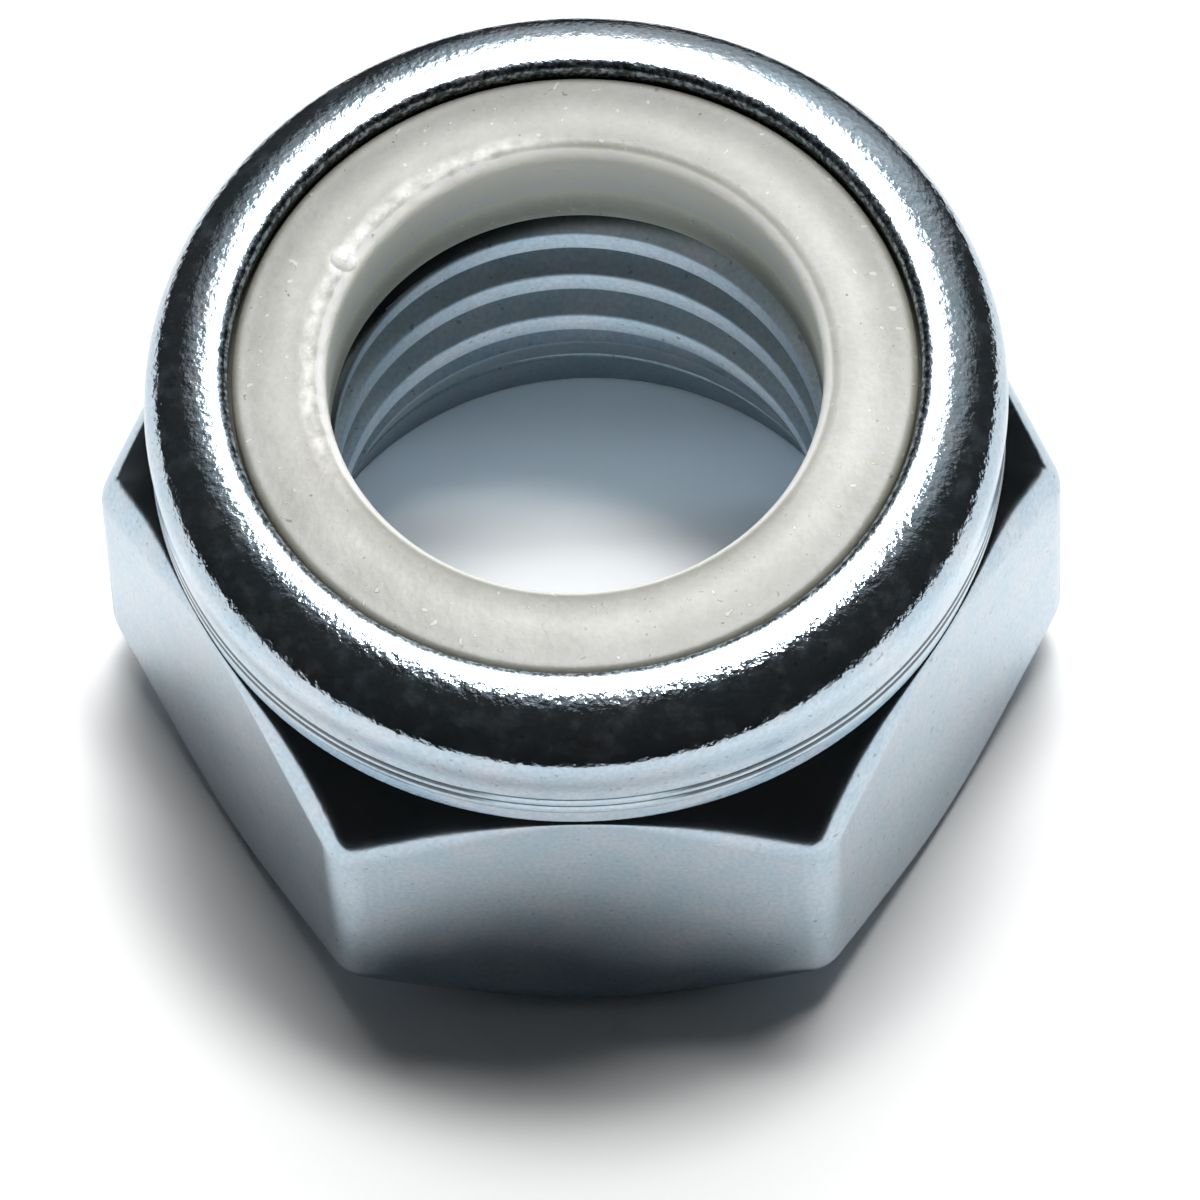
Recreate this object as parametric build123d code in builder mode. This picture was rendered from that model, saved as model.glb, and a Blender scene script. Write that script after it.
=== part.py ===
from build123d import *
from math import acos, atan2, cos, degrees, hypot, radians, sqrt, tan
import os

# Nylon insert lock nut, M12 x 1.75. All sizes are in millimetres.
# The bearing face is on Z = 0, the bolt axis is Z, and the nylon end points up.
# One flat of the hexagon faces -Y.

# --- Hexagon ---
across_flats = 18.0
edge_radius = 0.8              # the forged edges between the flats are soft
top_chamfer_angle = 43.0       # slope of the shoulders round the collar
bottom_chamfer_angle = 37.0    # slope of the scallops round the bearing face
bearing_setback = 0.3          # from a flat in to the rim of the bearing face

# --- Collar ---
nut_height = 12.0
collar_height = 3.7            # how far the round collar stands above the hexagon
land_setback = 0.05            # from a flat in to the strip that the collar stands on
land_height = 0.45
groove_depth = 0.09            # turning mark between the strip and the collar
groove_width = 0.18
foot_wall = 1.1                # collar wall at its foot, outside the insert
collar_wall = 1.2              # collar wall where it swells under the crimp

# --- Crimp: the lip that is rolled in over the insert ---
crimp_radius = 1.35
lip_overhang = 0.61            # how far the lip reaches in over the insert
lip_thickness = 0.45           # at its inner edge
lip_slope = 45.0               # of its underside
lip_edge_break = 0.15          # where its flat turns down at the inner edge

# --- Bore ---
thread_minor_diameter = 10.4   # within the 6H limits, 10.106 to 10.441
bottom_countersink = 1.35      # wider in radius than the bore
bottom_countersink_depth = 1.8 # steep, as left by a pointed drill
top_countersink = 0.4
pocket_depth = 2.8             # from the top of the nut down to the insert's seat

# --- Insert ring, moulded nylon ---
insert_diameter = 15.8
insert_bore = 10.5
insert_height = 2.65           # from the seat to the ridge round the bore
insert_clearance = 0.05        # to the pocket wall and to the underside of the lip
ridge_radius = 0.35            # rounding from the bore up to the ridge
face_drop = 0.28               # from the ridge down to the outer margin of the face
margin_width = 0.3             # where the face rolls off under the lip
foot_chamfer = 0.15            # at the foot of the bore and of the outer wall

# --- Worked out from the sizes above ---
hexagon_height = nut_height - collar_height
corner_reach = across_flats / sqrt(3)
bearing_radius = across_flats / 2 - bearing_setback
bottom_scallop = (corner_reach - bearing_radius) * tan(radians(bottom_chamfer_angle))
land_radius = across_flats / 2 - land_setback
top_scallop = (corner_reach - land_radius) * tan(radians(top_chamfer_angle))

pocket_radius = insert_diameter / 2 + insert_clearance
seat_z = nut_height - pocket_depth
lip_radius = pocket_radius - lip_overhang
lip_tip_z = nut_height - lip_thickness
lip_root_z = lip_tip_z - lip_overhang * tan(radians(lip_slope))

groove_z = hexagon_height + land_height
foot_z = groove_z + groove_width
foot_radius = pocket_radius + foot_wall
groove_floor = land_radius - groove_depth
crimp_x = pocket_radius + collar_wall - crimp_radius
crimp_z = nut_height - crimp_radius
# The collar rises from its foot as a slight flare, tangent to the crimp's round.
foot_distance = hypot(foot_radius - crimp_x, foot_z - crimp_z)
foot_direction = atan2(foot_z - crimp_z, foot_radius - crimp_x)
swell_angle = degrees(foot_direction + acos(crimp_radius / foot_distance))

os.makedirs("parts", exist_ok=True)


# --- Nut body: forged hexagon, turned collar, crimped lip ---
with BuildPart() as nut_body:
    # Hexagon blank with its soft edges.
    with BuildSketch(Plane.XY):
        RegularPolygon(across_flats / 2, 6, major_radius=False)
        fillet(vertices(), edge_radius)
    extrude(amount=hexagon_height)

    # A cone at each end cuts the corners back and scallops the flats.
    with BuildSketch(Plane.XZ):
        Polygon(
            (0, 0),
            (bearing_radius, 0),
            (corner_reach, bottom_scallop),
            (corner_reach, hexagon_height - top_scallop),
            (land_radius, hexagon_height),
            (0, hexagon_height),
            align=None,
        )
    revolve(axis=Axis.Z, mode=Mode.INTERSECT)

    # Collar, from the strip on the hexagon up to the flat of the lip.
    with BuildSketch(Plane.XZ):
        with BuildLine():
            crimp = CenterArc((crimp_x, crimp_z), crimp_radius, swell_angle, 90 - swell_angle)
            Polyline(
                crimp @ 1,
                (0, nut_height),
                (0, hexagon_height),
                (land_radius, hexagon_height),
                (land_radius, groove_z),
                (groove_floor, groove_z + groove_width / 2),
                (foot_radius, foot_z),
                crimp @ 0,
            )
        make_face()
    revolve(axis=Axis.Z)

    # Pocket for the insert, closed over by the lip.
    with BuildSketch(Plane.XZ):
        Polygon(
            (0, seat_z),
            (pocket_radius, seat_z),
            (pocket_radius, lip_root_z),
            (lip_radius, lip_tip_z),
            (lip_radius, nut_height),
            (0, nut_height),
            align=None,
        )
    revolve(axis=Axis.Z, mode=Mode.SUBTRACT)
    lip_edge = faces().sort_by(Axis.Z)[-1].edges().sort_by(SortBy.RADIUS)[0]
    chamfer(lip_edge, lip_edge_break)

    # Threaded bore at its minor diameter, countersunk at both ends.
    Hole(thread_minor_diameter / 2)
    bottom_edge = faces().sort_by(Axis.Z)[0].edges().sort_by(SortBy.RADIUS)[0]
    bottom_face = faces().sort_by(Axis.Z)[0]
    chamfer(bottom_edge, bottom_countersink, bottom_countersink_depth, reference=bottom_face)
    seat = faces().filter_by(Plane.XY).sort_by(lambda face: abs(face.center().Z - seat_z))[0]
    chamfer(seat.edges().sort_by(SortBy.RADIUS)[0], top_countersink)

nut_body.part.label = "nut_body"


# --- Insert ring: one moulding, trapped under the lip ---
with BuildPart() as insert_ring:
    bore_radius = insert_bore / 2
    wall_radius = insert_diameter / 2
    ridge_z = seat_z + insert_height
    # The shoulder runs parallel to the lip's underside, one clearance below it.
    slope = tan(radians(lip_slope))
    shoulder_radius = lip_radius - insert_clearance
    shoulder_z = lip_tip_z + insert_clearance * (slope - 1 / cos(radians(lip_slope)))
    wall_top_z = shoulder_z - (wall_radius - shoulder_radius) * slope

    with BuildSketch(Plane.XZ):
        with BuildLine():
            ridge = CenterArc(
                (bore_radius + ridge_radius, ridge_z - ridge_radius), ridge_radius, 90, 90
            )
            Polyline(
                ridge @ 1,
                (bore_radius, seat_z + foot_chamfer),
                (bore_radius + foot_chamfer, seat_z),
                (wall_radius - foot_chamfer, seat_z),
                (wall_radius, seat_z + foot_chamfer),
                (wall_radius, wall_top_z),
                (shoulder_radius, shoulder_z),
                (shoulder_radius - margin_width, ridge_z - face_drop),
                ridge @ 0,
            )
        make_face()
    revolve(axis=Axis.Z)

insert_ring.part.label = "insert_ring"


for piece in (nut_body, insert_ring):
    export_step(piece.part, f"parts/{piece.part.label}.step")
    print(f"{piece.part.label}: {piece.part.volume:.1f} cubic mm, valid {piece.part.is_valid}")
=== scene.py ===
# %% [markdown]
# # A nylon insert lock nut
#
# The CAD frame holds the nut at its real size: a steel body and a nylon ring that is trapped under
# the body's rolled lip. This notebook dresses both. It cuts the real thread, rounds every edge, and
# gives the zinc plating and the nylon their finishes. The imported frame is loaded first, because
# everything after it is placed by it.

# %% Load the frame
from math import atan, atan2, cos, degrees, pi, radians, sin, sqrt, tan, tanh

import bpy
from mathutils import Matrix, Vector


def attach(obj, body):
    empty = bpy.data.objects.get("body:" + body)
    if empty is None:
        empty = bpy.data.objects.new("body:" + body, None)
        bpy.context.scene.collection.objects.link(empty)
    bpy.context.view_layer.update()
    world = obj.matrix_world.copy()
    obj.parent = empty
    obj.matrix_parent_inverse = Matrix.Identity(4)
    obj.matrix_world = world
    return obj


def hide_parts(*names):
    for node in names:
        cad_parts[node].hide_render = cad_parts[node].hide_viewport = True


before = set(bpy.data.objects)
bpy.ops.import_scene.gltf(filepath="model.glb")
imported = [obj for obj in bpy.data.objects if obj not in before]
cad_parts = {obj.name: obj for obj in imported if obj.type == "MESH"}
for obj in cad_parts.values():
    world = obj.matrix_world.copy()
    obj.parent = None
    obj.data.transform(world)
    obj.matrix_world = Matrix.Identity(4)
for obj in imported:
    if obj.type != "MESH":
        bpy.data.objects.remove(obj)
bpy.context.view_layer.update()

# %% [markdown]
# ## The camera
#
# The nut is seen from 61 degrees above the floor through a long lens, so its circles become nearly
# perfect ellipses. The camera stands a little off the middle of the front flat and is rolled by
# three degrees, which is what a hand does. Its axes are worked out as vectors and put straight into
# its matrix.

# %% Camera
mm = 0.001
camera_distance = 330 * mm
camera_elevation = radians(60.93)
camera_azimuth = radians(2.41)
camera_roll = radians(-2.89)
camera_target = Vector((0.29 * mm, 0.0, 1.74 * mm))
camera_lens = 456.9
sensor_width = 36.0

turn = Matrix.Rotation(camera_azimuth, 3, "Z")
towards_camera = turn @ Vector((0, -cos(camera_elevation), sin(camera_elevation)))
level_right = turn @ Vector((1, 0, 0))
level_up = towards_camera.cross(level_right)
right = level_right * cos(camera_roll) + level_up * sin(camera_roll)
up = level_up * cos(camera_roll) - level_right * sin(camera_roll)

camera_data = bpy.data.cameras.new("camera")
camera_data.lens = camera_lens
camera_data.sensor_width = sensor_width
camera_data.clip_start = 10 * mm
camera = bpy.data.objects.new("camera", camera_data)
bpy.context.collection.objects.link(camera)
axes = Matrix((right, up, towards_camera)).transposed().to_4x4()
place = Matrix.Translation(turn @ camera_target + towards_camera * camera_distance)
camera.matrix_world = place @ axes
bpy.context.scene.camera = camera
print("camera at", [round(value, 4) for value in camera.matrix_world.translation])

# %% [markdown]
# ## Driving sizes
#
# Everything is modelled in millimetres and shrunk to metres at the end, because bevels and merges
# behave better on a part that is twenty units wide than on one of 0.02. The sizes are those of the
# CAD model: an M12 x 1.75 nut, 18 mm across its flats and 12 mm high.

# %% Sizes of the body
across_flats = 18.0
flat_distance = across_flats / 2
nut_height = 12.0
collar_height = 3.7
hexagon_height = nut_height - collar_height
blank_radius = 10.7
corner_rounding = 0.8
scallop_rounding = 0.62
bearing_radius = 8.7
land_radius = 8.95
bottom_slope = tan(radians(37))
top_slope = tan(radians(43))
print("height of the hexagon in mm:", round(hexagon_height, 3))

# %% Sizes of the collar and the crimp
land_top = hexagon_height + 0.45
groove_depth = 0.09
groove_width = 0.18
foot_radius = 9.09
foot_z = land_top + groove_width
mark_heights = (9.17, 9.44)
mark_width = 0.17
mark_depth = 0.018
collar_radius = 9.15
crimp_reach = 1.55
crimp_height = 1.35
crimp_center = (collar_radius - crimp_reach, nut_height - crimp_height)
lip_radius = 7.31
lip_tip_z = 11.55
lip_edge_radius = 0.24
pocket_radius = 7.95
lip_root_z = lip_tip_z - (pocket_radius - lip_radius)
seat_z = 9.2
print("middle of the crimp's oval in mm:", [round(value, 3) for value in crimp_center])

# %% Sizes of the bore and its thread
pitch = 1.75
major_radius = 6.0
minor_radius = 5.2
drilled_radius = 5.1
mouth_radius = 6.55
mouth_depth = 4.75
seat_mouth_radius = 5.6
crest_flat = 0.61
root_flat = 0.22
crest_height_at_back = 8.27
print("depth of the thread in mm:", round(major_radius - minor_radius, 3))

# %% [markdown]
# ## Turning a profile
#
# A nut body is turned, so its section is drawn once and spun. A profile here is a list of corners,
# each with its radius, its height and how much it is rounded. The lathe itself starts from a plane
# merged to a single vertex, extrudes that vertex along the profile, and spins the chain about Z.

# %% Profile helpers
def arc(center, reach, height, start, end, steps):
    """Corners along an arc, round or oval, from one angle to another, in degrees."""
    angles = [radians(start + (end - start) * step / steps) for step in range(steps + 1)]
    return [(center[0] + reach * cos(angle), center[1] + height * sin(angle), 0) for angle in angles]


def bezier(start, first_handle, second_handle, end, steps):
    """Corners along a cubic Bezier curve."""
    points = []
    for step in range(steps + 1):
        t = step / steps
        shares = ((1 - t) ** 3, 3 * t * (1 - t) ** 2, 3 * t * t * (1 - t), t ** 3)
        handles = (start, first_handle, second_handle, end)
        radius, height = (sum(s * h[axis] for s, h in zip(shares, handles)) for axis in (0, 1))
        points.append((radius, height, 0))
    return points


def soften(corners, steps=4):
    """Rounds the corners that ask for it, and returns plain points."""
    points = []
    for index, (radius, height, rounding) in enumerate(corners):
        corner = Vector((radius, height))
        if rounding == 0:
            points.append(corner)
            continue
        before = (Vector(corners[index - 1][:2]) - corner).normalized()
        after = (Vector(corners[(index + 1) % len(corners)][:2]) - corner).normalized()
        half_angle = before.angle(after) / 2
        center = corner + (before + after).normalized() * rounding / sin(half_angle)
        reach = rounding / tan(half_angle)
        first = corner + before * reach - center
        last = corner + after * reach - center
        for step in range(steps + 1):
            points.append(center + first.slerp(last, step / steps).normalized() * rounding)
    return points


# %% The lathe
turn_steps = 216
weld_distance = 1e-4       # in millimetres, as every size before the pieces are shrunk


def deselect_objects():
    bpy.ops.object.select_all(action="DESELECT")


def weld_all(distance=weld_distance):
    """In edit mode, merges the vertices that lie on one another."""
    bpy.ops.mesh.select_all(action="SELECT")
    bpy.ops.mesh.remove_doubles(threshold=distance)


def draw_profile(name, points):
    """Draws a chain of vertices in the XZ plane and leaves it in edit mode."""
    deselect_objects()
    bpy.ops.mesh.primitive_plane_add(size=0.1, location=(0, 0, 0))
    piece = bpy.context.object
    piece.name = piece.data.name = name
    bpy.ops.object.mode_set(mode="EDIT")
    bpy.ops.mesh.select_mode(type="VERT")
    bpy.ops.mesh.select_all(action="SELECT")
    bpy.ops.mesh.merge(type="CENTER")
    bpy.ops.transform.translate(value=(points[0].x, 0, points[0].y))
    for old, new in zip(points, points[1:]):
        step = {"value": (new.x - old.x, 0, new.y - old.y)}
        bpy.ops.mesh.extrude_region_move(TRANSFORM_OT_translate=step)
    return piece


def turn_profile(name, corners):
    """Spins a closed profile about Z into a solid, and stays in edit mode."""
    points = soften(corners)
    piece = draw_profile(name, points + points[:1])
    weld_all()
    bpy.ops.mesh.spin(steps=turn_steps, angle=2 * pi, center=(0, 0, 0), axis=(0, 0, 1))
    weld_all()
    bpy.ops.mesh.normals_make_consistent(inside=False)
    return piece


print("facets in a turn:", turn_steps)

# %% [markdown]
# ## The nut body's blank
#
# The real body is forged and then turned, so it starts as one turned blank: a chamfered disc with
# the collar on top, the crimped lip, the insert's pocket and a plain bore. The disc is as wide as
# the hexagon's rounded corners.

# %% Section of the blank
def hexagon_corners():
    """The disc that the hexagon is cut from, and the land on top of it."""
    bottom_scallop = (blank_radius - bearing_radius) * bottom_slope
    top_scallop = (blank_radius - land_radius) * top_slope
    return [(mouth_radius, 0, 0.08), (bearing_radius, 0, 0.12), (blank_radius, bottom_scallop, 0),
            (blank_radius, hexagon_height - top_scallop, 0), (land_radius, hexagon_height, 0),
            (land_radius, hexagon_height + 0.03, 0), (land_radius, land_top, 0.04)]


def collar_corners():
    """The turned groove, two fine turning marks and the swell under the crimp."""
    floor_radius = land_radius - groove_depth
    groove_side = groove_width * 0.3
    groove = [(floor_radius, land_top + groove_side, 0.03),
              (floor_radius, foot_z - groove_side, 0.03), (foot_radius, foot_z, 0.03)]
    marks = []
    for mark_z in mark_heights:
        marks += [(foot_radius, mark_z - mark_width / 2, 0.015),
                  (foot_radius - mark_depth, mark_z, 0.02),
                  (foot_radius, mark_z + mark_width / 2, 0.015)]
    swell_bottom = mark_heights[-1] + mark_width / 2 + 0.02
    swell_top = crimp_center[1]
    swell = bezier((foot_radius, swell_bottom), (foot_radius, swell_bottom + 0.45),
                   (collar_radius, swell_top - 0.35), (collar_radius, swell_top), 12)
    return groove + marks + swell[1:]


def crimp_corners():
    """The rolled shoulder, the flat of the lip, its inner edge and its underside."""
    shoulder = arc(crimp_center, crimp_reach, crimp_height, 0, 90, 36)
    lip = [(lip_radius, nut_height, lip_edge_radius), (lip_radius + 0.03, lip_tip_z, 0.05),
           (pocket_radius, lip_root_z, 0)]
    return shoulder[1:] + lip


def bore_corners():
    """The pocket's seat, the countersinks and the drilled bore, which the tap has yet to cut."""
    bore_top = seat_z - (seat_mouth_radius - drilled_radius)
    return [(pocket_radius, seat_z, 0.1), (seat_mouth_radius, seat_z, 0.05),
            (drilled_radius, bore_top, 0), (drilled_radius, mouth_depth, 0)]


blank_corners = hexagon_corners() + collar_corners() + crimp_corners() + bore_corners()
body = turn_profile("lock_nut_body", blank_corners)
bpy.ops.object.mode_set(mode="OBJECT")
print("faces of the blank:", len(body.data.polygons))

# %% [markdown]
# ## The hexagon
#
# On the real nut the six flats are forged, and the cones of the lathe cut their corners back, which
# leaves a curved scallop on each flat. Six bisects could cut the flats, but the corners between
# them are rounded, and the collar bulges a little past the flats and must stay whole. So a die is
# made: a ring with a rounded hexagon inside it. Its outline is drawn upright, as every profile here,
# and laid flat. Subtracted with Boolean, it trims only the disc, and the scallops appear by
# themselves where it meets the cones.

# %% Make the die
corner_steps = 7
die_spread = 1.3           # how many times wider the ring is than the hexagon in it


def make_die(bottom, top):
    """A ring with a rounded hexagon inside, which trims a disc to the hexagon's shape."""
    reach = flat_distance / cos(radians(30))
    bearings = [radians(60 * corner) for corner in range(6)]
    corners = [(reach * cos(bearing), reach * sin(bearing), corner_rounding) for bearing in bearings]
    outline = soften(corners, corner_steps)
    die = draw_profile("die", outline + outline[:1])
    weld_all()
    bpy.ops.object.mode_set(mode="OBJECT")
    die.location.z = bottom
    die.rotation_euler.x = pi / 2
    bpy.ops.object.transform_apply(location=True, rotation=True, scale=True)
    bpy.ops.object.mode_set(mode="EDIT")
    bpy.ops.mesh.select_all(action="SELECT")
    bpy.ops.mesh.select_mode(type="EDGE")
    bpy.ops.mesh.extrude_edges_move()
    bpy.ops.transform.resize(value=(die_spread, die_spread, 1), center_override=(0, 0, bottom))
    bpy.ops.mesh.select_all(action="SELECT")
    bpy.ops.mesh.select_mode(type="FACE")
    bpy.ops.mesh.extrude_region_move(TRANSFORM_OT_translate={"value": (0, 0, top - bottom)})
    bpy.ops.mesh.select_all(action="SELECT")
    bpy.ops.mesh.normals_make_consistent(inside=False)
    bpy.ops.object.mode_set(mode="OBJECT")
    return die


# The die reaches from under the bearing face to just below the top of the land.
die = make_die(-1.0, land_top - 0.05)
print("faces of the die:", len(die.data.polygons))

# %% Cut the flats
def make_active(piece):
    """Selects one object and nothing else, as the operators on objects expect."""
    deselect_objects()
    piece.select_set(True)
    bpy.context.view_layer.objects.active = piece


def combine(piece, tool, operation):
    """Cuts a tool's shape out of a piece, or joins it on, and removes the tool."""
    make_active(piece)
    boolean = piece.modifiers.new("combine", "BOOLEAN")
    boolean.operation = operation
    boolean.solver = "EXACT"
    boolean.object = tool
    bpy.ops.object.modifier_apply(modifier=boolean.name)
    bpy.data.objects.remove(tool)


combine(body, die, "DIFFERENCE")
print("faces with the flats:", len(body.data.polygons))

# %% [markdown]
# ## Soft edges
#
# Forging leaves no sharp edge, and the light along the scallops is what makes the hexagon look
# solid. The rounding is wide where there is room for it, and dies out in the middle of a flat,
# where the scallop comes up to the collar. Bevel does this with a weight for each edge. First the
# seams that the lathe left on the cones are dissolved near the six corners, because a wide bevel
# would fold over them.

# %% Take out the seams at the corners
seam_length = 0.5          # the cones' seams are longer than this, measured outwards
corner_radius = 10.0       # the rounded corners lie outside this radius
corner_half_angle = 2.6    # degrees that a rounded corner takes up on each side of its middle


def keep_edges(piece, test):
    """In edit mode, keeps only those selected edges whose two ends pass a test."""
    bpy.ops.object.mode_set(mode="OBJECT")
    mesh = piece.data
    kept = []
    for edge in mesh.edges:
        ends = [mesh.vertices[index] for index in edge.vertices]
        if edge.select and test(ends[0].co, ends[1].co):
            kept.append((edge, ends))
    for part in (*mesh.vertices, *mesh.edges, *mesh.polygons):
        part.select = False
    for edge, ends in kept:
        edge.select = ends[0].select = ends[1].select = True
    bpy.ops.object.mode_set(mode="EDIT")
    return len(kept)


def is_seam_at_corner(first, second):
    """True on the seams of the turned cones that end on a rounded corner of the hexagon."""
    inner, outer = sorted((first, second), key=lambda end: end.xy.length)
    is_long = outer.xy.length - inner.xy.length >= seam_length
    if outer.xy.length < corner_radius or outer.z > hexagon_height or not is_long:
        return False
    bearing = degrees(atan2(outer.y, outer.x)) % 60
    return min(bearing, 60 - bearing) < corner_half_angle


bpy.ops.object.mode_set(mode="EDIT")
bpy.ops.mesh.select_mode(type="EDGE")
weld_all()
bpy.ops.mesh.select_all(action="SELECT")
print("seams taken out at the corners:", keep_edges(body, is_seam_at_corner))
bpy.ops.mesh.dissolve_edges(use_verts=True)

# %% Select the outline of the flats
def select_faces(piece, test):
    """In edit mode, selects the faces that pass a test."""
    bpy.ops.mesh.select_mode(type="FACE")
    bpy.ops.mesh.select_all(action="DESELECT")
    bpy.ops.object.mode_set(mode="OBJECT")
    for face in piece.data.polygons:
        face.select = test(face)
    bpy.ops.object.mode_set(mode="EDIT")


def is_upright(face):
    """True on the flats and on the rounded corners between them."""
    is_low = face.center.z < hexagon_height - 0.1
    return is_low and face.center.xy.length > flat_distance - 0.1 and abs(face.normal.z) < 0.02


select_faces(body, is_upright)
bpy.ops.mesh.region_to_loop()
bpy.ops.object.mode_set(mode="OBJECT")
outline_edges = [edge.index for edge in body.data.edges if edge.select]
print("edges round the flats:", len(outline_edges))

# %% Weigh the edges
largest_weight = 0.92      # keeps the rounding constant along the corners
weight_rise = 0.9          # how fast it gets there as the cone leaves room for it


def cone_height(radius, is_top):
    """Height of the upper or lower cone at a radius."""
    if is_top:
        return hexagon_height - (radius - land_radius) * top_slope
    return (radius - bearing_radius) * bottom_slope


def room_on_cone(radius, is_top):
    """Width of the upper or lower cone between its inner rim and a radius."""
    if is_top:
        return (radius - land_radius) / cos(atan(top_slope))
    return (radius - bearing_radius) / cos(atan(bottom_slope))


weights = body.data.attributes.new("bevel_weight_edge", "FLOAT", "EDGE").data
for edge in outline_edges:
    ends = [body.data.vertices[index].co for index in body.data.edges[edge].vertices]
    is_top = ends[0].z > hexagon_height / 2
    for end in ends:
        # Sets the end on the true cone, which the lathe's facets only come close to.
        end.z = cone_height(end.xy.length, is_top)
    room = room_on_cone((ends[0] + ends[1]).xy.length / 2, is_top)
    weights[edge].value = min(largest_weight, tanh(weight_rise * room / scallop_rounding))
print("smallest weight of an edge:", round(min(weights[edge].value for edge in outline_edges), 3))

# %% Round the edges of the flats
flat_area = 20.0           # a flat is larger than this, the rounded corners' faces are smaller
flat_inset = 0.05          # an inset keeps the shading of the flats from bending near the rounding


def is_flat(face):
    return is_upright(face) and face.area > flat_area


bevel = body.modifiers.new("soften", "BEVEL")
bevel.limit_method = "WEIGHT"
bevel.width = scallop_rounding
bevel.segments = 6
bevel.use_clamp_overlap = False
bevel.loop_slide = False
make_active(body)
bpy.ops.object.modifier_apply(modifier=bevel.name)
bpy.ops.object.mode_set(mode="EDIT")
select_faces(body, is_flat)
bpy.ops.mesh.inset(thickness=flat_inset)
bpy.ops.object.mode_set(mode="OBJECT")
for face in body.data.polygons:
    face.use_smooth = False
print("faces with rounded edges:", len(body.data.polygons))

# %% [markdown]
# ## The thread
#
# The real thread is cut with a tap, and so is this one: a tap is modelled and subtracted from the
# body. Rings stacked at the pitch would look much the same from above, but their crests would close
# on themselves instead of climbing. The tap's section is one pitch of the thread, with the 60 degree
# flanks of a metric thread and rounded crests. The Screw modifier winds it up the axis, and its two
# open ends are extruded and merged to a point, so that it is a closed solid for Boolean. Where the
# thread's facets cross the body's, Boolean leaves specks of edges, which a last merge takes away.

# %% Section of the tap
def tap_corners():
    """One pitch of the tap, from the middle of one crest of the nut's thread to the next."""
    crest = crest_flat / 2
    root = (pitch - root_flat) / 2
    return [(minor_radius, 0, 0), (minor_radius, crest, 0.09), (major_radius, root, 0.07),
            (major_radius, pitch - root, 0.07), (minor_radius, pitch - crest, 0.09),
            (minor_radius, pitch, 0)]


tap_points = soften(tap_corners(), 3)
print("points in the tap's section:", len(tap_points))

# %% Wind the tap
tap_turns = 8
tap_steps = 144            # facets in a turn
turns_below_crest = 6      # from the highest crest at the back down to the tap's lowest
tap_bottom = crest_height_at_back - pitch / 4 - turns_below_crest * pitch
tap = draw_profile("tap", tap_points)
bpy.ops.object.mode_set(mode="OBJECT")
screw = tap.modifiers.new("thread", "SCREW")
screw.axis = "Z"
screw.angle = 2 * pi
screw.screw_offset = pitch
screw.iterations = tap_turns
screw.steps = screw.render_steps = tap_steps
screw.use_merge_vertices = False
bpy.ops.object.modifier_apply(modifier=screw.name)
bpy.ops.object.mode_set(mode="EDIT")
weld_all()
print("turns of the tap:", tap_turns)

# %% Close the tap's ends
tap_middle = (tap_turns + 1) * pitch / 2


def is_at_foot(first, second):
    return max(first.z, second.z) < tap_middle


def is_at_head(first, second):
    return min(first.z, second.z) > tap_middle


for is_this_end in (is_at_foot, is_at_head):
    bpy.ops.mesh.select_mode(type="EDGE")
    bpy.ops.mesh.select_all(action="DESELECT")
    bpy.ops.mesh.select_non_manifold()
    print("open edges at this end of the tap:", keep_edges(tap, is_this_end))
    bpy.ops.mesh.extrude_edges_move()
    bpy.ops.mesh.merge(type="CENTER")
bpy.ops.mesh.select_all(action="SELECT")
bpy.ops.mesh.normals_make_consistent(inside=False)
bpy.ops.transform.translate(value=(0, 0, tap_bottom))
bpy.ops.object.mode_set(mode="OBJECT")

# %% Cut the thread
speck_length = 1e-3        # in millimetres, far below anything that can be seen
combine(body, tap, "DIFFERENCE")
bpy.ops.object.mode_set(mode="EDIT")
weld_all(speck_length)
bpy.ops.object.mode_set(mode="OBJECT")
print("faces with the thread:", len(body.data.polygons))

# %% [markdown]
# ## The nylon ring
#
# The ring is moulded, dropped into the pocket and trapped when the lip is rolled over it. It is
# turned from one profile as the body is. Its face swells from a soft margin just inside the lip up
# to a rounded ridge at the bore. Only the top and the bore can ever be seen, but the hidden foot and
# shoulder are drawn too, so that the ring is a whole solid.

# %% Sizes of the ring
insert_bore_radius = 5.25
insert_radius = 7.9
ridge_rounding = 0.42
ridge_radius = insert_bore_radius + ridge_rounding
ridge_z = seat_z + 2.65
margin_z = 11.72
clearance = 0.05
print("height of the ring in mm:", round(ridge_z - seat_z, 3))

# %% Turn the ring
def ring_corners():
    """The moulded ring, from the foot of its bore out and up to the face, and back to the ridge."""
    gap_radius = lip_radius - clearance
    gap_bottom = lip_tip_z - 0.25
    wall_top = lip_root_z - clearance * (1 + sqrt(2))
    foot = [(insert_bore_radius, seat_z, 0.12), (insert_radius, seat_z, 0.15),
            (insert_radius, wall_top, 0.05)]
    margin = [(gap_radius, gap_bottom, 0), (gap_radius, margin_z, 0.17)]
    face = bezier((gap_radius - 0.3, margin_z), (gap_radius - 0.55, margin_z + 0.02),
                  (ridge_radius + 0.4, ridge_z - 0.02), (ridge_radius, ridge_z), 16)
    ridge_center = (ridge_radius, ridge_z - ridge_rounding)
    ridge = arc(ridge_center, ridge_rounding, ridge_rounding, 90, 180, 12)
    return foot + margin + face + ridge[1:]


ring = turn_profile("insert_ring_moulding", ring_corners())
bpy.ops.object.mode_set(mode="OBJECT")
print("faces of the ring:", len(ring.data.polygons))

# %% [markdown]
# ## A nub of flash
#
# Where the mould was filled, a small blob of nylon is left on the ridge. It is a squashed sphere.
# It could simply lie in the ring's surface, but a union makes it one skin with the ring, so that
# the soft light inside the nylon runs through both.

# %% Join the nub to the ridge
nub_bearing = radians(151)
nub_radius = insert_bore_radius + 0.35
nub_size = 0.24


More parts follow.
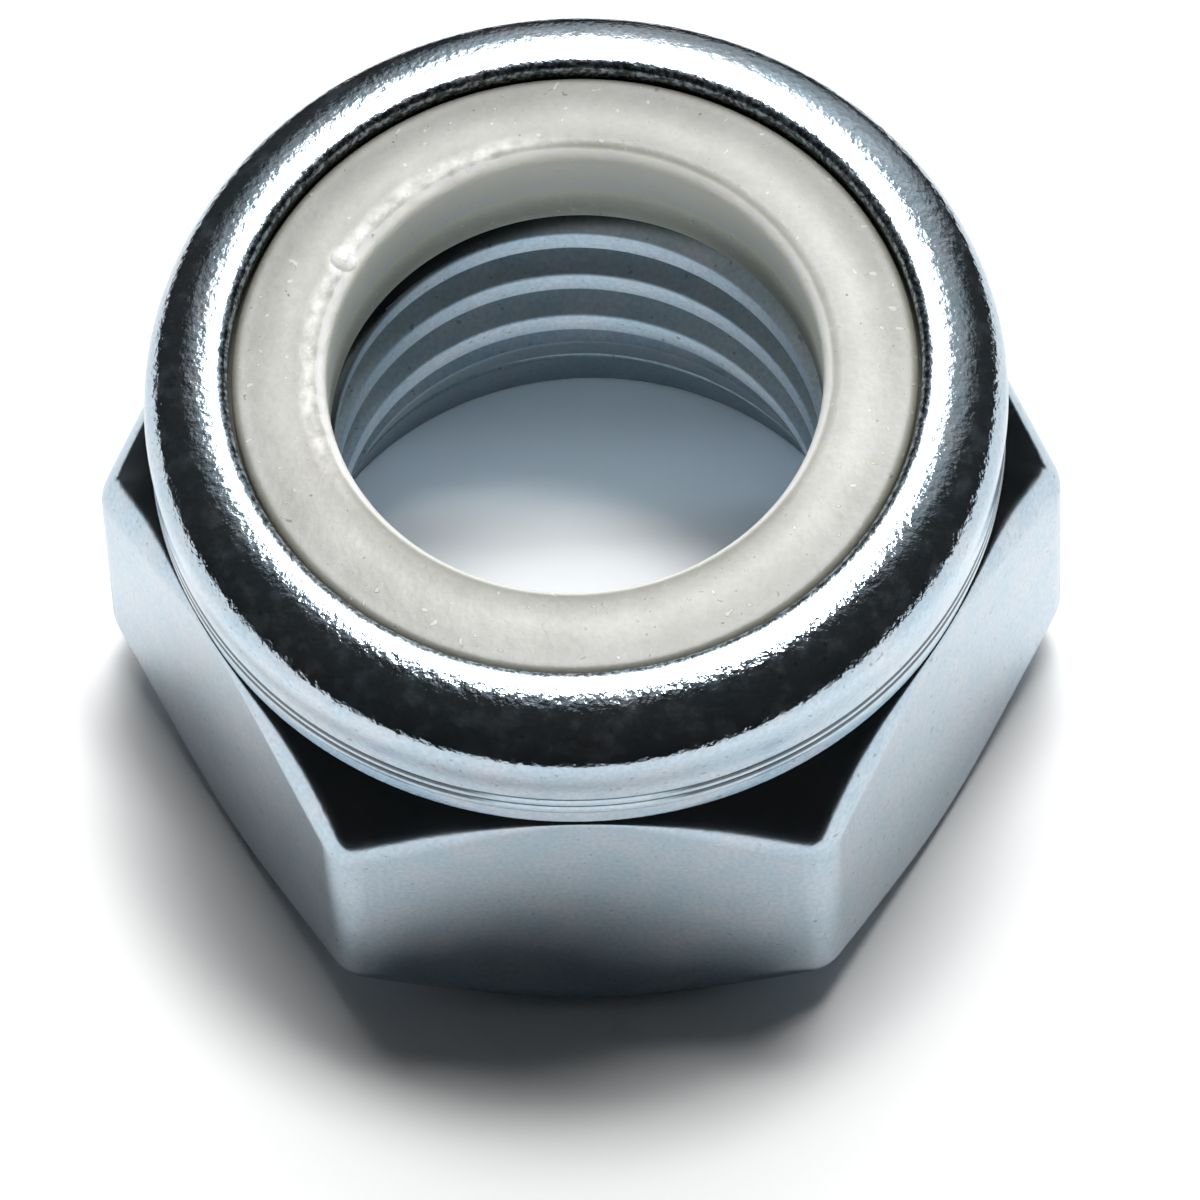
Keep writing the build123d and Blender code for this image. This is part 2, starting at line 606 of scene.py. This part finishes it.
def make_nub():
    """A squashed sphere on the ridge, a little longer across it than along it."""
    deselect_objects()
    place = (nub_radius * cos(nub_bearing), nub_radius * sin(nub_bearing), ridge_z - 0.04)
    bpy.ops.mesh.primitive_uv_sphere_add(segments=24, ring_count=16, radius=nub_size, location=place)
    nub = bpy.context.object
    nub.scale = (1.25, 1, 0.75)
    nub.rotation_euler = (0, 0, nub_bearing)
    bpy.ops.object.transform_apply(location=True, rotation=True, scale=True)
    return nub


combine(ring, make_nub(), "UNION")
print("faces of the ring with its nub:", len(ring.data.polygons))

# %% [markdown]
# ## Handing the pieces over
#
# Both pieces shrink to metres with the scale applied, which leaves their objects at the origin. They
# shade smoothly except across real edges. Each then rides the nut's only body and stands in for its
# CAD node.

# %% Finish the meshes
def finish_mesh(piece, sharp_angle):
    """Shrinks a piece to metres with its transforms applied, and smooths its shading."""
    make_active(piece)
    piece.scale = (mm, mm, mm)
    bpy.ops.object.transform_apply(location=True, rotation=True, scale=True)
    bpy.ops.object.shade_smooth_by_angle(angle=radians(sharp_angle))


finish_mesh(body, 30)
finish_mesh(ring, 40)
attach(body, "root")
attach(ring, "root")
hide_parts("nut_body")
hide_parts("insert_ring")
print("pieces handed over:", body.name, ring.name)

# %% [markdown]
# ## Shader expressions
#
# The finishes are built from noise and from soft steps in height and radius. Wired up by hand, that
# takes dozens of Math nodes. So one small class wraps a node's output, and a sum of wires and
# numbers adds the Math nodes it needs. Every other node comes from add_node.

# %% Wires and nodes
class Wire:
    """The output of a shader node. Sums of wires and numbers add Math nodes."""

    def __init__(self, socket):
        self.socket = socket

    def sum_with(self, operation, first, second):
        tree = self.socket.id_data
        return add_node(tree, "ShaderNodeMath", {"operation": operation}, {0: first, 1: second})

    def __add__(self, other):
        return self.sum_with("ADD", self, other)

    def __sub__(self, other):
        return self.sum_with("SUBTRACT", self, other)

    def __rsub__(self, other):
        return self.sum_with("SUBTRACT", other, self)

    def __mul__(self, other):
        return self.sum_with("MULTIPLY", self, other)

    __radd__ = __add__
    __rmul__ = __mul__


def add_node(tree, kind, settings=None, inputs=None, output=0):
    """Adds any node: its settings first, then its sockets' values or links. Returns an output."""
    node = tree.nodes.new(kind)
    for name, value in (settings or {}).items():
        if name == "stops":
            set_stops(node.color_ramp, value)
        else:
            setattr(node, name, value)
    for name, value in (inputs or {}).items():
        if isinstance(value, Wire):
            tree.links.new(value.socket, node.inputs[name])
        else:
            node.inputs[name].default_value = value
    return Wire(node.outputs[output]) if node.outputs else None


def set_stops(ramp, stops):
    """Gives a colour ramp its stops, each a place and a colour."""
    while len(ramp.elements) < len(stops):
        ramp.elements.new(0.5)
    for element, (place, color) in zip(ramp.elements, stops):
        element.position = place
        element.color = (*color, 1)


def smooth_step(tree, value, low, high):
    """A soft step from 0 at low to 1 at high, where low may also be the larger of the two."""
    inputs = {"Value": value, "From Min": low, "From Max": high}
    return add_node(tree, "ShaderNodeMapRange", {"interpolation_type": "SMOOTHSTEP"}, inputs)


def new_material(name):
    """An empty material and its node tree."""
    material = bpy.data.materials.new(name)
    material.use_nodes = True
    material.node_tree.nodes.clear()
    return material, material.node_tree


def dress(piece, material):
    """Gives a piece its only material."""
    piece.data.materials.clear()
    piece.data.materials.append(material)
    print(f"nodes in {material.name}:", len(material.node_tree.nodes))


def position_in_mm(tree):
    """The shaded point's place on the object, in millimetres."""
    place = add_node(tree, "ShaderNodeTexCoord", output="Object")
    return add_node(tree, "ShaderNodeVectorMath", {"operation": "SCALE"}, {0: place, "Scale": 1 / mm})


# %% [markdown]
# ## Zinc plating
#
# Bright zinc is a mirror with a faint blue tint, which barrel plating leaves cloudy and finely
# grained. An image could paint this, but noise on Object coordinates needs no seams and stays sharp
# up close. The crimp is pressed smooth, so it is the glossiest part, yet lumpy, and its lumps break
# up the edges of the reflections. The thread is rougher. Light and shade are painted into the colour
# too: the thread and the collar are painted brighter, the thread's lower mouth, the recess under the
# nylon and the lip's inner edge are painted in shade, and the turning marks carry painted dark
# reflections.

# %% Places and lumps
def coordinate(tree, place, axis):
    """One coordinate of a place: X to the right, Y to the back or Z up."""
    return add_node(tree, "ShaderNodeSeparateXYZ", None, {0: place}, output=axis)


def noise(tree, place, scale, detail):
    """Soft noise whose lumps are about one over the scale in millimetres."""
    inputs = {"Vector": place, "Scale": scale, "Detail": detail}
    return add_node(tree, "ShaderNodeTexNoise", None, inputs)


def shade(tree, color, amount):
    """Makes a colour lighter or darker."""
    return add_node(tree, "ShaderNodeVectorMath", {"operation": "SCALE"}, {0: color, "Scale": amount})


def distance_from_axis(tree, place):
    """Distance of a place from the bolt's axis."""
    flat_place = add_node(tree, "ShaderNodeVectorMath", {"operation": "MULTIPLY"},
                          {0: place, 1: (1, 1, 0)})
    return add_node(tree, "ShaderNodeVectorMath", {"operation": "LENGTH"}, {0: flat_place},
                    output="Value")


# %% Painted reflections in the turning marks
def painted_reflections_in_marks(tree, place):
    """Where the turning marks are painted dark, as reflections of the hexagon's dark shoulders: on both
    sides of the front, not in its middle.
    """
    side = coordinate(tree, place, "X")
    height = coordinate(tree, place, "Z")
    marks = 0
    for mark_z in mark_heights:
        above = smooth_step(tree, height, mark_z - 0.11, mark_z - 0.05)
        marks = above * smooth_step(tree, height, mark_z + 0.10, mark_z + 0.04) + marks
    return marks * smooth_step(tree, side * side, 1.5, 6.0)


# %% Zinc plating
zinc_stops = [(0.35, (0.51, 0.645, 0.735)), (0.5, (0.55, 0.66, 0.745)), (0.65, (0.60, 0.675, 0.75))]


def make_zinc():
    """Bright zinc, with a gloss, lumps and grime of its own on each part of the body."""
    material, tree = new_material("zinc_plating")
    place = position_in_mm(tree)
    height = coordinate(tree, place, "Z")
    radius = distance_from_axis(tree, place)

    # Parts of the body that look different from the flats.
    crimped = smooth_step(tree, height, 10.7, 11.2)
    lip_edge = smooth_step(tree, radius, 7.6, 7.45) * crimped
    collar = smooth_step(tree, height, 8.7, 8.85) * (1 - crimped)
    threaded = smooth_step(tree, radius, 6.7, 6.6) * smooth_step(tree, height, 8.9, 8.6)
    mouth = threaded * smooth_step(tree, height, 3.6, 3.2)
    recess = smooth_step(tree, height, 8.55, 8.75) * smooth_step(tree, radius, 7.2, 6.8)
    marks = painted_reflections_in_marks(tree, place)

    # What plating and handling leave at random.
    mottle = noise(tree, place, 6.0, 3.0)
    blotch = noise(tree, place, 2.2, 5.0)
    cloud = noise(tree, place, 0.9, 4.0)
    grain = noise(tree, place, 9.0, 3.0)
    pits = smooth_step(tree, noise(tree, place, 6.0, 1.0), 0.7, 0.76)
    worn = smooth_step(tree, blotch, 0.45, 0.7) * crimped
    # Painted shade in the gap at the lip's inner edge, broken up by the grain.
    lip_edge_shade = lip_edge * smooth_step(tree, grain, 0.35, 0.6)

    color = add_node(tree, "ShaderNodeValToRGB", {"stops": zinc_stops}, {"Fac": cloud})
    # The tone also paints light and shade: the thread, standing in for the light bounced inside it, and
    # the collar's reflection are painted brighter. The thread's lower mouth, the recess under the
    # nylon, the lip's inner edge and the turning marks are painted darker, the marks as dark
    # reflections.
    tone = (0.75 + grain * 0.5) * (1 - pits * 0.35) * (1 + threaded * 0.2 - mouth * 0.4)
    tone = tone * (1 - recess * 0.7) * (1 - lip_edge_shade * 0.85) * (1 + collar * 0.15) * (1 - marks * 0.82)
    roughness = 0.12 + cloud * 0.08 - crimped * 0.1 + worn * 0.07 + lip_edge * 0.2 + threaded * 0.3
    lumps = mottle * (0.02 + crimped * 0.65) + grain * 0.05
    bump = add_node(tree, "ShaderNodeBump", None,
                    {"Height": lumps, "Strength": 1.0, "Distance": 0.03 * mm})
    shader = add_node(tree, "ShaderNodeBsdfPrincipled", None, {
        "Base Color": shade(tree, color, tone), "Metallic": 1 - worn * 0.03 - crimped * 0.03,
        "Roughness": roughness, "Normal": bump})
    add_node(tree, "ShaderNodeOutputMaterial", None, {"Surface": shader})
    return material


dress(body, make_zinc())

# %% [markdown]
# ## Natural nylon
#
# Undyed nylon is milky. Light enters it and comes out a millimetre away, which Subsurface gives.
# The colour is varied by place: tiny bubbles and specks, and painted light and shade. The ridge
# carries a painted highlight at the left and back, partly flash, and the nub a painted highlight
# too. The margin by the lip, the inner edge and the back are painted in shade, the bore wall is
# painted lighter towards the top, and the margin and the bore wall are tinted yellow.

# %% Painted highlights on the ridge and the nub
def ridge_flash_and_highlight(tree, place, scuff):
    """The lighter band on the left and back of the ridge, partly flash and partly a painted highlight,
    broken up by the scuffs.
    """
    across, depth, height = (coordinate(tree, place, axis) for axis in "XYZ")
    flash_and_highlight = smooth_step(tree, distance_from_axis(tree, place), 5.95, 5.65)
    flash_and_highlight = flash_and_highlight * smooth_step(tree, height, 11.4, 11.75) * smooth_step(tree, scuff, 0.2, 0.7)
    return flash_and_highlight * smooth_step(tree, across, 0.5, -2.5) * smooth_step(tree, depth, -3.5, -1.5)


def nub_highlight_spot(tree, place):
    """A painted highlight where the nub stands."""
    middle = (nub_radius * cos(nub_bearing), nub_radius * sin(nub_bearing), ridge_z)
    distance = add_node(tree, "ShaderNodeVectorMath", {"operation": "DISTANCE"},
                        {0: place, 1: middle}, output="Value")
    return smooth_step(tree, distance, 0.45, 0.25)


# %% Painted light and shade on the nylon
def nylon_light_shade_and_tint(tree, place):
    """The ring's painted light and shade, from the bore out to the lip and side to side, and its
    yellow.
    """
    radius = distance_from_axis(tree, place)
    across, depth, height = (coordinate(tree, place, axis) for axis in "XYZ")
    wall = smooth_step(tree, radius, 5.5, 5.3)
    upper = smooth_step(tree, height, 9.4, 11.3)
    inner = smooth_step(tree, radius, 6.2, 5.5)
    rim = smooth_step(tree, radius, 6.1, 6.9)
    margin = smooth_step(tree, radius, 7.0, 7.25)
    right = smooth_step(tree, across, 1.5, 5.0)
    front = smooth_step(tree, depth, -2.0, -4.5)
    behind = smooth_step(tree, depth, -1.0, 5.0) * smooth_step(tree, radius, 5.8, 7.0)
    # Painted shade darkens the inner edge, the margin under the lip, the back and the rim. Painted
    # light brightens the bore wall towards the top, though it is darker on the right, and brightens the
    # face on the right away from the front, where the inner edge is painted darker still.
    light = (1 - inner * 0.24) * (1 - margin * 0.5) * (1 - behind * 0.3) * (1 - rim * 0.2)
    light = light * (1 + wall * (upper * 3.0 + 0.1 - right * 0.7))
    light = light * (1 + right * 0.14 * (1 - front)) * (1 - inner * front * 0.25)
    return light, margin * 0.6 + wall * 0.5


# %% Nylon
nylon_stops = [(0.3, (0.61, 0.61, 0.565)), (0.7, (0.70, 0.705, 0.665))]
nylon_yellow = (0.60, 0.58, 0.44, 1)


def make_nylon():
    """Milky nylon: bubbles, specks, flash, painted light and shade. It lets most of a shadow ray
    through.
    """
    material, tree = new_material("natural_nylon")
    place = position_in_mm(tree)
    grain = noise(tree, place, 6.0, 4.0)
    cloud = noise(tree, place, 0.8, 3.0)
    scuff = noise(tree, place, 2.6, 3.0)
    bubbles = smooth_step(tree, noise(tree, place, 6.0, 0.0), 0.77, 0.8)
    specks = smooth_step(tree, noise(tree, place, 5.5, 1.0), 0.24, 0.2)
    flash_and_highlight = ridge_flash_and_highlight(tree, place, scuff)
    light, yellow = nylon_light_shade_and_tint(tree, place)

    # The nub's spot and the ridge's band below are painted highlights.
    tone = (0.78 + grain * 0.2) * light * (1 + nub_highlight_spot(tree, place) * 0.35)
    tone = tone * (1 + flash_and_highlight * 0.9) * (1 - specks * 0.5) + bubbles * 0.25
    milky = add_node(tree, "ShaderNodeValToRGB", {"stops": nylon_stops}, {"Fac": cloud})
    color = add_node(tree, "ShaderNodeMix", {"data_type": "RGBA"},
                     {0: yellow, 6: milky, 7: nylon_yellow}, output=2)
    relief = grain + flash_and_highlight + bubbles * 3 + scuff * 2
    bump = add_node(tree, "ShaderNodeBump", None,
                    {"Height": relief, "Strength": 1.0, "Distance": 0.01 * mm})
    solid = add_node(tree, "ShaderNodeBsdfPrincipled", None, {
        "Base Color": shade(tree, color, tone), "Roughness": 0.42, "Normal": bump,
        "Subsurface Weight": 0.8, "Subsurface Radius": (1.0, 0.95, 0.7),
        "Subsurface Scale": 1.2 * mm})
    clear = add_node(tree, "ShaderNodeBsdfTransparent", None, {"Color": (0.9, 0.9, 0.88, 1)})
    shadow = add_node(tree, "ShaderNodeLightPath", output="Is Shadow Ray")
    mixed = add_node(tree, "ShaderNodeMixShader", None, {0: shadow * 0.95, 1: solid, 2: clear})
    add_node(tree, "ShaderNodeOutputMaterial", None, {"Surface": mixed})
    return material


dress(ring, make_nylon())

# %% [markdown]
# ## The sheet of paper
#
# The nut stands on white paper. A mirror shows what surrounds it, so the paper's size matters: its
# far edges are where the reflections in the collar and the crimp turn from white to black. The
# camera sees the paper as a little brighter than it is, so that it melts into the white background
# while the lit nut keeps its tones. Inside the bore it is brightened once more, which stands in for
# the light that a real thread throws down into that shadow.

# %% Lay the paper
paper_side = 66 * mm
paper_front = -27 * mm
paper_back = 21 * mm
deselect_objects()
bpy.ops.mesh.primitive_plane_add(size=2, location=(0, (paper_front + paper_back) / 2, 0))
floor = bpy.context.object
floor.name = floor.data.name = "floor"
floor.scale = (paper_side, (paper_back - paper_front) / 2, 1)
bpy.ops.object.transform_apply(location=True, rotation=True, scale=True)
print("depth of the paper in metres:", round(floor.dimensions.y, 4))

# %% Paper
def make_paper():
    """White paper, a little brighter to the camera, most of all where it shows inside the bore."""
    material, tree = new_material("white_paper")
    place = position_in_mm(tree)
    depth = coordinate(tree, place, "Y")
    in_bore = smooth_step(tree, distance_from_axis(tree, place), 7.2, 6.2)
    glow = in_bore * smooth_step(tree, depth, 2.4, 3.8)
    glow = glow * (1 - 0.55 * smooth_step(tree, depth, 4.3, 6.0))
    brightened = shade(tree, (1.0, 1.0, 1.0), 1.15 + glow * 0.95)
    plain = add_node(tree, "ShaderNodeBsdfDiffuse", None, {"Color": (0.9, 0.9, 0.9, 1)})
    bright = add_node(tree, "ShaderNodeBsdfDiffuse", None, {"Color": brightened})
    seen = add_node(tree, "ShaderNodeLightPath", output="Is Camera Ray")
    mixed = add_node(tree, "ShaderNodeMixShader", None, {0: seen, 1: plain, 2: bright})
    add_node(tree, "ShaderNodeOutputMaterial", None, {"Surface": mixed})
    return material


dress(floor, make_paper())

# %% [markdown]
# ## The light
#
# One long lamp stands high behind the nut. It gives the crisp white band on the crimp and the short
# shadow in front. It is written into the world as a few soft round patches, each with a direction,
# a reach in degrees, a softness and a strength, because area lamps near the nut would show as
# rectangles in the mirror. Fainter and larger patches behind it fill the greys between the bands.
# The rest of the room is nearly black, which is what makes the plating look like metal.

# %% Light
def sky_direction(elevation, bearing):
    """A direction from its height above the floor and its bearing to the right of straight back."""
    flat = cos(radians(elevation))
    return Vector((flat * sin(radians(bearing)), flat * cos(radians(bearing)), sin(radians(elevation))))


# Each patch has an elevation, a bearing, a reach and a softness in degrees, and a strength.
long_lamp = [(74.0, -20, 5.5, 1, 14.0), (73.2, 12, 5.5, 1, 35.0), (74.0, 44, 5.5, 1, 26.0)]
fill = [(54, 1, 19, 1, 2.6), (36, 2, 14, 1, 1.9), (48, 8, 34, 14, 0.4), (85, 0, 12, 4, 0.2),
        (8, 12, 24, 8, 0.35)]
ambient = 0.007


def make_world():
    """Writes the patches of light into the world, which the camera itself sees as plain white."""
    world = bpy.data.worlds.new("studio")
    bpy.context.scene.world = world
    world.use_nodes = True
    tree = world.node_tree
    tree.nodes.clear()
    direction = add_node(tree, "ShaderNodeTexCoord", output="Generated")
    lit = ambient
    for elevation, bearing, reach, softness, strength in long_lamp + fill:
        towards = sky_direction(elevation, bearing)
        facing = add_node(tree, "ShaderNodeVectorMath", {"operation": "DOT_PRODUCT"},
                          {0: direction, 1: towards}, output="Value")
        rim = cos(radians(reach + softness))
        heart = cos(radians(reach - softness))
        lit = smooth_step(tree, facing, rim, heart) * strength + lit
    light = add_node(tree, "ShaderNodeBackground", None, {"Color": (1, 1, 1, 1), "Strength": lit})
    white = add_node(tree, "ShaderNodeBackground", None, {"Color": (1, 1, 1, 1), "Strength": 1.0})
    seen = add_node(tree, "ShaderNodeLightPath", output="Is Camera Ray")
    mixed = add_node(tree, "ShaderNodeMixShader", None, {0: seen, 1: light, 2: white})
    add_node(tree, "ShaderNodeOutputWorld", None, {"Surface": mixed})


make_world()
bpy.context.scene.view_settings.view_transform = "Standard"
print("patches of light:", len(long_lamp + fill))
